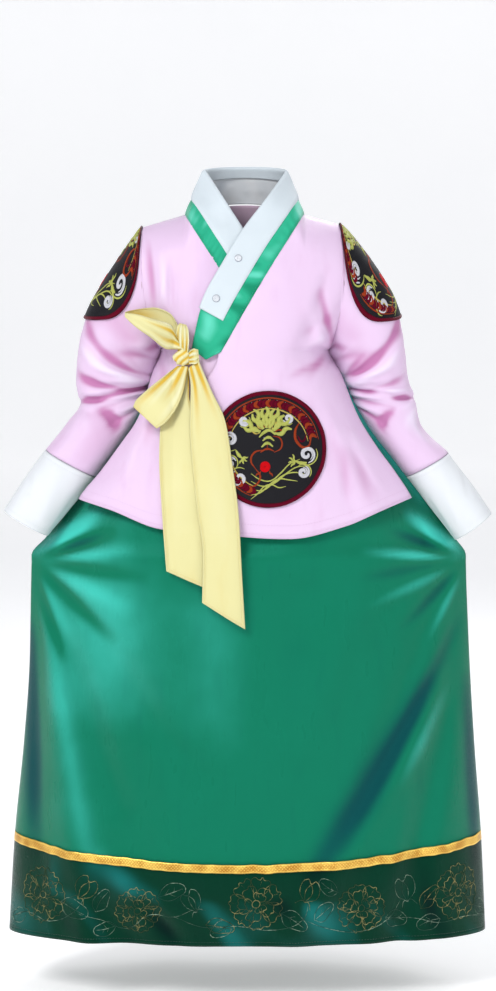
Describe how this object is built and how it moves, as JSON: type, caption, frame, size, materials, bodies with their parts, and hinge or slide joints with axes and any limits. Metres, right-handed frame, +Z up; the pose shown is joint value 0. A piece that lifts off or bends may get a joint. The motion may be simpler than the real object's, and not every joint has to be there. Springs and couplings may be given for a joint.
{
  "type": "child's hanbok",
  "caption": "Worn hollow child's hanbok: wrapped jacket with crossed collar, sleeves with cuffs, ribbon bow and roundels, over a full skirt held out at its sides.",
  "frame": {"origin": "midway between the two shoulder seams, at the height where the shoulders carry the jacket", "axes": "+Z up, the wearer faces -Y, the wearer's left arm is on +X"},
  "size_m": [0.5873, 0.2966, 0.9296],
  "materials": {
    "pink_satin": "pale pink polyester satin, soft sheen",
    "white_cotton": "plain white cotton, matt, crisp",
    "green_satin": "bright green satin band with stitched edges",
    "emerald_satin": "emerald satin with turquoise and blue sheen",
    "printed_hem_satin": "dark green satin with thin gold line flowers",
    "gold_braid": "gold metallic braid",
    "yellow_ribbon": "pale yellow satin ribbon",
    "embroidered_roundel": "black ground with gold, maroon and white embroidery",
    "snap_plastic": "small white pressed snap"
  },
  "bodies": {
    "root": {"jacket_front_left": "pink_satin", "jacket_front_right": "pink_satin", "jacket_back": "pink_satin", "sleeve_left": "pink_satin", "sleeve_right": "pink_satin", "cuff_left": "white_cotton", "cuff_right": "white_cotton", "collar_band": "green_satin", "collar_strip": "white_cotton", "snap_upper": "snap_plastic", "snap_lower": "snap_plastic", "roundel_front": "embroidered_roundel", "roundel_shoulder_left": "embroidered_roundel", "roundel_shoulder_right": "embroidered_roundel", "waistband_front": "white_cotton", "waistband_back": "white_cotton", "skirt_front": "emerald_satin", "skirt_back": "emerald_satin", "hem_panel_front": "printed_hem_satin", "hem_panel_back": "printed_hem_satin", "gold_trim_front": "gold_braid", "gold_trim_back": "gold_braid", "ribbon_knot": "yellow_ribbon", "ribbon_upper_loop": "yellow_ribbon", "ribbon_lower_loop": "yellow_ribbon", "ribbon_under_tail": "yellow_ribbon", "ribbon_over_tail": "yellow_ribbon"}
  },
  "joints": []
}
